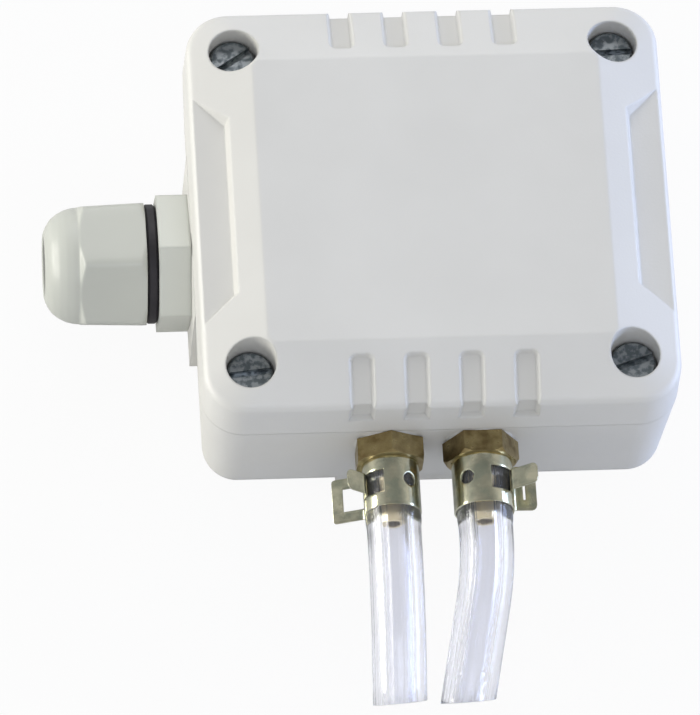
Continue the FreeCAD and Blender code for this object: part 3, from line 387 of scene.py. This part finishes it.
inner = {
    "black_glass_filled_nylon": ("#1B1B1D", "#242427", 0.5, ["flow_sensor"]),
    "green_moulded_nylon": ("#2E7A3E", "#286B36", 0.35, ["terminal_block"]),
    "blue_moulded_nylon": ("#2A50A8", "#234591", 0.3, ["trimmer_body"]),
    "white_moulded_nylon": ("#DEDACC", "#D2CEC0", 0.4, ["trimmer_rotor"]),
    "black_moulding_resin": ("#17181A", "#1F2023", 0.45, ["controller_chip", "voltage_regulator",
                                                          "test_header", "resistors"]),
    "clear_green_resin": ("#9CD6A0", "#8CCB92", 0.15, ["status_led"]),
}
for name, (hex_code, dark_hex, roughness, parts) in inner.items():
    paint(satin_plastic(name, hex_code, dark_hex, roughness, 0.4, 0.04), *parts)
aluminium = aged_metal("drawn_aluminium", "#C9CBCE", "#AEB1B5", 1.0, (0.25, 0.4), 0.3, 0.02)
paint(aluminium, "capacitors")
paint(mask, "circuit_board")
print("inner parts finished")

# %% [markdown]
# ## Pieces made here
# A new piece is made in its own simple position, such as a hose that starts at the origin and
# runs up, and one matrix then carries its mesh to its place. Its object stays at the origin,
# unturned, so that patterns in object space keep their size. Normals are recalculated, and a
# limit on the smoothing angle keeps the crisp edges crisp.


# %% Helpers for pieces
def finish_piece(bm, name, finish, body, place=None, smooth_angle=40.0):
    """Turn a bmesh drawn in millimetres into a piece that rides on a body."""
    if place:
        bmesh.ops.transform(bm, matrix=place, verts=bm.verts)
    bmesh.ops.scale(bm, vec=(MM, MM, MM), verts=bm.verts)
    bmesh.ops.recalc_face_normals(bm, faces=bm.faces)
    mesh = bpy.data.meshes.new(name)
    bm.to_mesh(mesh)
    bm.free()
    piece = bpy.data.objects.new(name, mesh)
    bpy.context.scene.collection.objects.link(piece)
    mesh.materials.append(finish)
    mesh.shade_smooth()
    mesh.set_sharp_from_angle(angle=math.radians(smooth_angle))
    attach(piece, body)
    print(f"{name}: {len(mesh.polygons)} faces")
    return piece


def loop_edges(bm, verts):
    """The edges that run between some vertices."""
    chosen = set(verts)
    return [e for e in bm.edges if e.verts[0] in chosen and e.verts[1] in chosen]


def ring_verts(edges):
    """The points of some edges, each once."""
    return list(dict.fromkeys(v for e in edges for v in e.verts))


def pull(bm, edges, move=(0, 0, 0), widen=1.0):
    """Extrude a ring of edges, widen it about the origin's upright line and move it."""
    new = bmesh.ops.extrude_edge_only(bm, edges=edges)["geom"]
    verts = [v for v in new if isinstance(v, bmesh.types.BMVert)]
    bmesh.ops.scale(bm, vec=(widen, widen, 1), verts=verts)
    bmesh.ops.translate(bm, vec=move, verts=verts)
    return [e for e in new if isinstance(e, bmesh.types.BMEdge)]


# %% [markdown]
# ## Dome nut of the gland
# The nut is a hexagon that narrows a little towards a round dome. Its outside is drawn ring by
# ring: at each height, a point lies at the smaller of the hexagon's and the dome's radius,
# blended so that every edge comes out rounded like a moulding's, and where the dome cuts the
# flats it leaves the typical crescents. The inside follows with plain rings back to the start.
# Lengths are millimetres from the nut's open end, which starts at NUT_START, and the two
# exponents say how tight the rounding is: a higher one gives a crisper edge.

# %% Dome nut
NUT_START = (-43.1, 0.0, 13.5)
NUT_FLATS = 9.35
NUT_TAPER = 0.35 / 9.9
NUT_CORNER = 36.0
NUT_POINTS = 216
ROUNDED = 26
BLEND = 90
DOME = [(0.0, 9.75), (0.9, 10.9), (1.2, 12.0), (8.9, 12.0), (9.1, 10.8), (10.2, 9.0), (11.1, 8.87),
        (12.2, 8.54), (13.3, 7.98), (14.3, 7.18), (14.9, 6.28), (15.3, 5.4), (15.4, 5.05)]
INSIDE = [(15.25, 4.72), (12.4, 4.7), (11.2, 5.8), (8.2, 8.05), (0.0, 8.05)]
LEVELS = [0.3, 0.6, 0.9, 1.2, 1.6] + [2.5 + i for i in range(6)] + [8.2 + 0.15 * i for i in range(16)]
LEVELS += [10.7 + 0.25 * i for i in range(18)] + [15.25, 15.4]


def dome_radius(height):
    """The dome's radius at a height, from straight lines between its points."""
    for (z0, r0), (z1, r1) in zip(DOME, DOME[1:]):
        if height <= z1:
            return r0 + (r1 - r0) * (height - z0) / (z1 - z0)
    return DOME[-1][1]


def nut_radius(angle, height):
    """The blended smaller one of the hexagon's and the dome's radius."""
    faces = [math.cos(angle - math.radians(NUT_CORNER + 30 + 60 * k)) for k in range(6)]
    pull_in = sum(max(0.0, face) ** ROUNDED for face in faces)
    hexed = (NUT_FLATS - NUT_TAPER * height) / pull_in ** (1 / ROUNDED)
    return (hexed**-BLEND + dome_radius(height) ** -BLEND) ** (-1 / BLEND)


def shape_ring(verts, height):
    """Move a ring of points out to the nut's outline."""
    for vert in verts:
        angle = math.atan2(vert.co.y, vert.co.x)
        radius = nut_radius(angle, height)
        vert.co = (radius * math.cos(angle), radius * math.sin(angle), height)


bm = bmesh.new()
first = bmesh.ops.create_circle(bm, cap_ends=False, segments=NUT_POINTS, radius=NUT_FLATS)["verts"]
edges = start = loop_edges(bm, first)
shape_ring(first, 0.0)
for height in LEVELS:
    edges = pull(bm, edges)
    shape_ring(ring_verts(edges), height)
for height, radius in INSIDE:
    edges = pull(bm, edges)
    for vert in ring_verts(edges):
        flat = Vector((vert.co.x, vert.co.y)).normalized() * radius
        vert.co = (flat.x, flat.y, height)
bmesh.ops.bridge_loops(bm, edges=start + edges)
LYING = Matrix(((0, 0, -1), (0, 1, 0), (1, 0, 0))).to_4x4()
place = Matrix.Translation(NUT_START) @ LYING
dome_nut = finish_piece(bm, "gland_dome_nut", nylon, "dome_nut", place, smooth_angle=60.0)
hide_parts("gland_nut")

# %% [markdown]
# ## Hoses
# Each stub is a tube with a wall a bit over 2 mm thick. It swells over the barbs of the
# nipple, runs straight out under the clamp and droops on one gentle bend. Both skins are
# made alike: a ring of edges is extruded along the straight part, widening and narrowing,
# spun round the centre of the bend, and extruded again. Bridging the two skins closes the
# ends, and a small bevel rounds the cut. The cuts were made by hand and run slightly askew:
# each end ring is pushed along the hose onto a plane. Every point remembers where on the
# first ring it came from, which the streaks in the plastic follow. A stub this short and
# stiff holds its shape, so it is a rigid piece, not a free cord.

# %% Hoses
SIDES = {"left": -7.75, "right": 6.15}
FACE_Y = -36.9
NIPPLE_UP = 18.2
HOSE_POINTS = 72
BEND_STEPS = 14
END_STEPS = 3
CUT_ROUND = 0.12
IN_PLANE = 0.98
WELD = 0.005
HOSE_STRAIGHT = 12.0
HOSE_BEND = {"left": 40.0, "right": 25.0}
HOSE_END = {"left": 8.2, "right": 14.3}
HOSE_TURN = {"left": 24.3, "right": 24.6}
HOSE_ROLL = {"left": 1.0, "right": 26.0}
CUT_RISE = {"left": 5.5, "right": 4.6}
CUT_FARTHER = {"left": -0.05, "right": 0.35}
OUTER_SKIN = [(0.0, 4.12), (0.4, 4.17), (2.9, 4.15), (3.8, 4.18), (5.2, 4.14), (6.2, 4.18),
              (7.6, 4.15), (8.4, 4.25), (9.1, 4.25), (10.2, 4.13), (HOSE_STRAIGHT, 4.1)]
INNER_SKIN = [(0.0, 2.14), (3.3, 2.14), (4.9, 1.9), (5.4, 2.14), (7.3, 1.8), (8.5, 1.75),
              (10.2, 1.75), (HOSE_STRAIGHT, 1.75)]


def hose_skin(bm, profile, bend, turn, last, cut_normal, farther):
    """One skin of a hose: a ring drawn out, round the bend and on; gives its two end rings."""
    radius = profile[0][1]
    first = bmesh.ops.create_circle(bm, cap_ends=False, segments=HOSE_POINTS, radius=radius)["verts"]
    edges = start = loop_edges(bm, first)
    around = bm.verts.layers.float_vector["around"]
    for vert in first:
        vert[around] = vert.co
    for (z0, r0), (z1, r1) in zip(profile, profile[1:]):
        edges = pull(bm, edges, (0, 0, z1 - z0), widen=r1 / r0)
    angle = math.radians(turn)
    spun = bmesh.ops.spin(bm, geom=edges, cent=(bend, 0, HOSE_STRAIGHT), axis=(0, 1, 0), angle=angle,
                          steps=BEND_STEPS, use_merge=False, use_duplicate=False)
    edges = [e for e in spun["geom_last"] if isinstance(e, bmesh.types.BMEdge)]
    ahead = Vector((math.sin(angle), 0, math.cos(angle)))
    for _ in range(END_STEPS):
        edges = pull(bm, edges, ahead * last / END_STEPS)
    ring = ring_verts(edges)
    centre = sum((v.co for v in ring), Vector()) / len(ring) + ahead * farther
    for vert in ring:
        vert.co += ahead * (centre - vert.co).dot(cut_normal) / ahead.dot(cut_normal)
    return start, edges


def close_end(bm, edges, ahead, radius, steps):
    """Close a hose's end down to its bore, by rings of a radius and a height further ahead."""
    ring = ring_verts(edges)
    centre = sum((v.co for v in ring), Vector()) / len(ring)
    for new_radius, climb in steps:
        new = bmesh.ops.extrude_edge_only(bm, edges=edges)["geom"]
        verts = [v for v in new if isinstance(v, bmesh.types.BMVert)]
        edges = [e for e in new if isinstance(e, bmesh.types.BMEdge)]
        share = new_radius / radius
        bmesh.ops.scale(bm, vec=(share, share, share), space=Matrix.Translation(-centre), verts=verts)
        bmesh.ops.translate(bm, vec=ahead * climb, verts=verts)
        centre += ahead * climb
        radius = new_radius
    bmesh.ops.remove_doubles(bm, verts=bm.verts, dist=WELD)


for side, x in SIDES.items():
    bm = bmesh.new()
    bm.verts.layers.float_vector.new("around")
    roll = math.radians(HOSE_ROLL[side])
    across = Vector((-math.sin(roll), 0, -math.cos(roll)))
    out = Vector((0, -1, 0))
    frame_axes = Matrix((across, out.cross(across), out)).transposed()
    place = Matrix.Translation((x, FACE_Y, NIPPLE_UP)) @ frame_axes.to_4x4()
    rise = math.radians(CUT_RISE[side])
    cut_line = RIGHT * math.cos(rise) + UP * math.sin(rise)
    cut_normal = frame_axes.transposed() @ BACK.cross(cut_line)
    farther = CUT_FARTHER[side] - CUT_ROUND
    form = HOSE_BEND[side], HOSE_TURN[side], HOSE_END[side], cut_normal, farther
    outer_start, outer_end = hose_skin(bm, OUTER_SKIN, *form)
    hose_skin(bm, INNER_SKIN, *form)
    outer, bore = OUTER_SKIN[-1][1], INNER_SKIN[-1][1]
    low, high = CUT_ROUND * (1 - math.sqrt(0.5)), CUT_ROUND * math.sqrt(0.5)
    rings = [(outer - low, high), (outer - CUT_ROUND, low), (bore + CUT_ROUND, 0),
             (bore + low, -low), (bore, -high)]
    turned = math.radians(HOSE_TURN[side])
    close_end(bm, outer_end, Vector((math.sin(turned), 0, math.cos(turned))), outer, rings)
    close_end(bm, outer_start, Vector((0, 0, -1)), OUTER_SKIN[0][1], [(INNER_SKIN[0][1], 0)])
    bmesh.ops.recalc_face_normals(bm, faces=bm.faces)
    bm.normal_update()
    for face in bm.faces:
        flat = abs(face.normal.dot(cut_normal)) > IN_PLANE
        face.material_index = int(flat and face.calc_center_median().z > HOSE_STRAIGHT)
    print(sum(face.material_index for face in bm.faces), f"faces on the {side} hose's cut end")
    piece = finish_piece(bm, f"clear_hose_{side}", pvc, "housing", place)
    piece.data.materials.append(cut_pvc)
    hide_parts(f"hose_{side}")

# %% [markdown]
# ## Spring band clamps
# Each clamp is one strip of spring steel. The wide end is turned out as a lug with a window,
# the strip goes round the hose, narrows to a tongue, passes through the window's slot and is
# turned out again. Squeezing the two lugs opens the ring. The strip is drawn flat first and
# then rolled. Angles run round the ring from its front, towards the lugs; lengths are
# millimetres, and the flat strip's length u is 0 where the wide lug is bent out.

# %% Sizes of the clamps and the way a strip is rolled
STRIP = 0.28
RING = 4.2 + STRIP / 2
BEND = 0.75
QUARTER = BEND * math.pi / 2
BAND_LONG = 8.0
SLOT_HALF, TONGUE_HALF, LUG_HALF = 1.85, 1.65, 3.6
LUG_EDGE = 1.7
RING_SLOT = 0.3
SHOULDER_AT = 358
HOLE_LOW = -0.3
PUNCHED = 1.1
TONGUE_ROUND = 0.9
DEGREE = math.radians(1) * RING
CLAMPS = {
    "left": dict(hand=-1, tongue_at=64, tongue=3.3, lug_at=116, lug=5.3, slot_at=19, hole_at=-36,
                 round=0.5, lug_open=5.0, lean=0.2),
    "right": dict(hand=1, tongue_at=59, tongue=4.8, lug_at=98, lug=3.8, slot_at=12, hole_at=-36,
                  round=0.9, lug_open=0.35, lean=0.1),
}


def ring_point(angle, radius):
    """A point of the ring; the angle runs from the front towards the lugs."""
    return Vector((math.sin(math.radians(angle)), math.cos(math.radians(angle)), 0)) * radius


def bend_angle(lug):
    """How far round the ring a lug's bend starts before the lug's middle, in degrees."""
    return math.degrees(math.atan(BEND / (RING + BEND + lug / 2)))


def rolled(u, clamp):
    """Where the flat strip's length u lies once the strip is rolled and its ends are bent out."""
    if 0 <= u <= clamp["whole"]:
        return ring_point(clamp["lug_from"] - u / DEGREE, RING)
    start, far, sense = (0.0, -u, 1) if u < 0 else (clamp["whole"], u - clamp["whole"], -1)
    angle = clamp["lug_from"] - start / DEGREE
    outward = ring_point(angle, 1.0)
    along = Vector((outward.y, -outward.x, 0)) * sense
    centre = outward * (RING + BEND)
    if far < QUARTER:
        part = far / BEND
        return centre + along * math.sin(part) * BEND - outward * math.cos(part) * BEND
    return centre + along * BEND + outward * (far - QUARTER)


for side, clamp in CLAMPS.items():
    lug_lean = bend_angle(clamp["lug"])
    clamp["lug_from"] = clamp["lug_at"] - lug_lean
    round_ring = 360 + clamp["lug_from"] - clamp["tongue_at"] - bend_angle(clamp["tongue"])
    clamp["whole"] = round_ring * DEGREE
    clamp["low"] = -clamp["lug"] - (QUARTER - BEND)
    clamp["high"] = clamp["whole"] + clamp["tongue"] + (QUARTER - BEND)
    clamp["shoulder"] = (SHOULDER_AT - lug_lean) * DEGREE
    clamp["slot_end"] = (clamp["lug_from"] - clamp["slot_at"]) * DEGREE
    hole_along = (clamp["lug_from"] - clamp["hole_at"]) * DEGREE
    clamp["hole"] = Vector((hole_along, HOLE_LOW, 0))
    print(f"{side} strip: {clamp['high'] - clamp['low']:.1f} mm long when flat")

# %% [markdown]
# ### The flat strip
# A plane is cut along lines, closely enough for the ring to look round, and along the edges of
# the slot, the tongue and the lug. The faces of the slot and of the round hole are deleted,
# with those beside the tongue and the lug, and the hole's rim is drawn onto a circle.

# %% Cut and punch the flat strip
ROUND_STEPS = 150
CORNER_CUTS = [0.0, 0.1, 0.25, 0.5, 0.9, 1.3]
ROWS = [TONGUE_HALF, SLOT_HALF, 2.3, 2.75, 3.2, LUG_HALF, 0.0, 0.3, 0.6, 0.9, 1.2, 1.45]
SAME = 0.02


def cut_across(bm, spot, normal):
    """Cut everything along a plane."""
    geom = bm.verts[:] + bm.edges[:] + bm.faces[:]
    bmesh.ops.bisect_plane(bm, geom=geom, dist=SAME, plane_co=spot, plane_no=normal)


def flat_strip(clamp):
    """A plane of the strip's length and width, cut along all the lines that it needs."""
    low, high = clamp["low"], clamp["high"]
    size = Matrix.Diagonal(((high - low) / 2, BAND_LONG / 2, 1, 1))
    bm = bmesh.new()
    bmesh.ops.create_grid(bm, x_segments=1, y_segments=1, size=1.0)
    middle = Matrix.Translation(((low + high) / 2, 0, 0))
    bmesh.ops.transform(bm, verts=bm.verts, matrix=middle @ size)
    cuts = [low + m for m in CORNER_CUTS] + [high - m for m in CORNER_CUTS]
    cuts += [RING_SLOT, clamp["slot_end"], clamp["shoulder"]]
    cuts += [low + LUG_EDGE, low + LUG_EDGE + clamp["lug_open"]]
    cuts += [low + (high - low) * i / ROUND_STEPS for i in range(1, ROUND_STEPS)]
    for u in cuts:
        cut_across(bm, (u, 0, 0), (1, 0, 0))
    for w in sorted(set(ROWS + [-row for row in ROWS])):
        cut_across(bm, (0, w, 0), (0, 1, 0))
    return bm


def punch(bm, clamp):
    """Delete the slots, the hole and what lies beside the lugs, and make the hole round."""
    hole = clamp["hole"]
    window = clamp["low"] + LUG_EDGE
    away = []
    for face in bm.faces:
        u, w, _ = face.calc_center_median()
        in_window = window < u < window + clamp["lug_open"]
        in_slot = (in_window or RING_SLOT < u < clamp["slot_end"]) and abs(w) < SLOT_HALF
        beside_tongue = u > clamp["shoulder"] and abs(w) > TONGUE_HALF
        beside_lug = u < 0 and abs(w) > LUG_HALF
        in_hole = (Vector((u, w, 0)) - hole).length < PUNCHED
        if in_slot or beside_tongue or beside_lug or in_hole:
            away.append(face)
    bmesh.ops.delete(bm, geom=away, context="FACES")
    for vert in bm.verts:
        reach = vert.co - hole
        if vert.is_boundary and reach.length < PUNCHED + 0.5:
            vert.co = hole + reach.normalized() * PUNCHED
    near = [v for v in bm.verts if not v.is_boundary and (v.co - hole).length < PUNCHED * 2]
    bmesh.ops.smooth_vert(bm, verts=near, factor=0.5, use_axis_x=True, use_axis_y=True)


longest = max(clamp["high"] - clamp["low"] for clamp in CLAMPS.values())
print(f"a strip is cut every {longest / ROUND_STEPS:.2f} mm or closer")

# %% [markdown]
# ### Rolled clamps
# The corners of the lug and the tongue are rounded, and every point is rolled onto the ring
# and its two bends. The tongue leans a little, as on the real ones. Solidify gives the
# thickness, and a fine bevel gives the bright edge line of stamped sheet.


# %% Roll the strips into clamps
def roll_up(bm, clamp):
    """Round the strip's corners and roll every point onto the ring and its bends."""
    low, high, whole = clamp["low"], clamp["high"], clamp["whole"]
    for vert in bm.verts:
        u, w = vert.co.x, vert.co.y
        wide = u < whole / 2
        from_tip = u - low if wide else high - u
        curve = clamp["round"] if wide else TONGUE_ROUND
        half = LUG_HALF if wide else TONGUE_HALF
        if from_tip < curve:
            w *= (half - curve + math.sqrt(max(0.0, curve**2 - (curve - from_tip) ** 2))) / half
        w -= clamp["lean"] * max(0.0, u - whole)
        spot = rolled(u, clamp)
        vert.co = (clamp["hand"] * spot.x, spot.y, BAND_LONG / 2 + w)


SHARP = math.radians(50)
STAMPED_ROUND = 0.06
FACING_OUT = Matrix(((1, 0, 0), (0, 0, -1), (0, 1, 0))).to_4x4()
for side, clamp in CLAMPS.items():
    bm = flat_strip(clamp)
    punch(bm, clamp)
    roll_up(bm, clamp)
    bmesh.ops.recalc_face_normals(bm, faces=bm.faces)
    bmesh.ops.solidify(bm, geom=bm.faces[:], thickness=STRIP)
    crisp = [e for e in bm.edges if len(e.link_faces) == 2 and e.calc_face_angle() > SHARP]
    bmesh.ops.bevel(bm, geom=crisp, offset=STAMPED_ROUND, offset_type="OFFSET", segments=2,
                    profile=0.5, affect="EDGES", material=-1)
    place = Matrix.Translation((SIDES[side], FACE_Y, NIPPLE_UP)) @ FACING_OUT
    piece = finish_piece(bm, f"spring_clamp_{side}", yellow_zinc, "housing", place)
    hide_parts(f"clamp_{side}")
